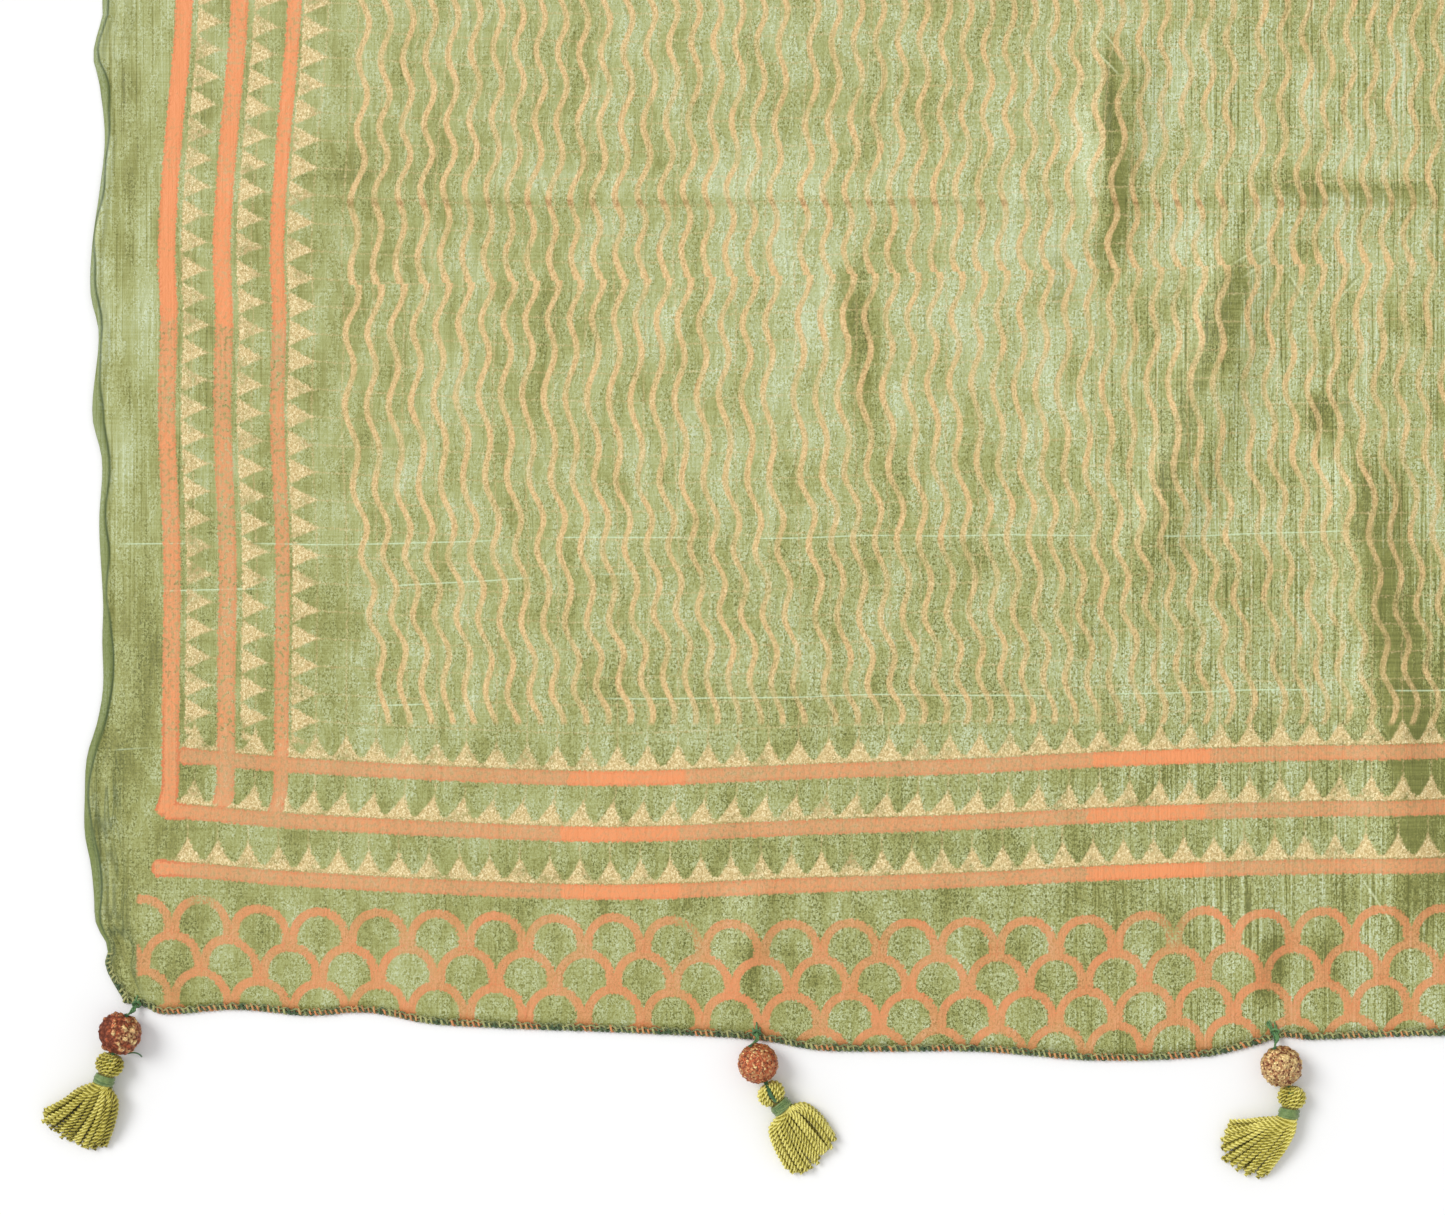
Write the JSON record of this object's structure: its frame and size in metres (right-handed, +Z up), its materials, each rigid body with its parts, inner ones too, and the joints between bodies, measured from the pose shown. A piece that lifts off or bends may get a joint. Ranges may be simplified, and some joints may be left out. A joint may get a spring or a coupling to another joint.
{
  "type": "dupatta stole",
  "caption": "Long thin silk stole laid flat, block printed with borders and wavy lines, with overlocked ends and beaded yarn tassels.",
  "frame": {"origin": "centre of the stole on the surface that it lies on", "axes": "+Y along the stole's length, +X across it, +Z up from the surface"},
  "size_m": [0.9756, 2.5, 0.0132],
  "materials": {
    "cloth": "thin glossy silk, block printed in orange and gold",
    "edging": "dark green overlock stitching",
    "thread": "dark green sewing thread",
    "bead": "copper brown bead, rough with metallic grains",
    "yarn": "twisted olive yellow yarn",
    "wrap": "mid green thread, wound tightly"
  },
  "bodies": {
    "root": {"cloth": "cloth", "edging_front": "edging", "edging_back": "edging", "drop_front_1_thread": "thread", "drop_front_1_bead": "bead", "drop_front_1_tassel": "yarn", "drop_front_1_wrap": "wrap", "drop_front_2_thread": "thread", "drop_front_2_bead": "bead", "drop_front_2_tassel": "yarn", "drop_front_2_wrap": "wrap", "drop_front_3_thread": "thread", "drop_front_3_bead": "bead", "drop_front_3_tassel": "yarn", "drop_front_3_wrap": "wrap", "drop_front_4_thread": "thread", "drop_front_4_bead": "bead", "drop_front_4_tassel": "yarn", "drop_front_4_wrap": "wrap", "drop_front_5_thread": "thread", "drop_front_5_bead": "bead", "drop_front_5_tassel": "yarn", "drop_front_5_wrap": "wrap", "drop_front_6_thread": "thread", "drop_front_6_bead": "bead", "drop_front_6_tassel": "yarn", "drop_front_6_wrap": "wrap", "drop_back_1_thread": "thread", "drop_back_1_bead": "bead", "drop_back_1_tassel": "yarn", "drop_back_1_wrap": "wrap", "drop_back_2_thread": "thread", "drop_back_2_bead": "bead", "drop_back_2_tassel": "yarn", "drop_back_2_wrap": "wrap", "drop_back_3_thread": "thread", "drop_back_3_bead": "bead", "drop_back_3_tassel": "yarn", "drop_back_3_wrap": "wrap", "drop_back_4_thread": "thread", "drop_back_4_bead": "bead", "drop_back_4_tassel": "yarn", "drop_back_4_wrap": "wrap", "drop_back_5_thread": "thread", "drop_back_5_bead": "bead", "drop_back_5_tassel": "yarn", "drop_back_5_wrap": "wrap", "drop_back_6_thread": "thread", "drop_back_6_bead": "bead", "drop_back_6_tassel": "yarn", "drop_back_6_wrap": "wrap"}
  },
  "joints": []
}
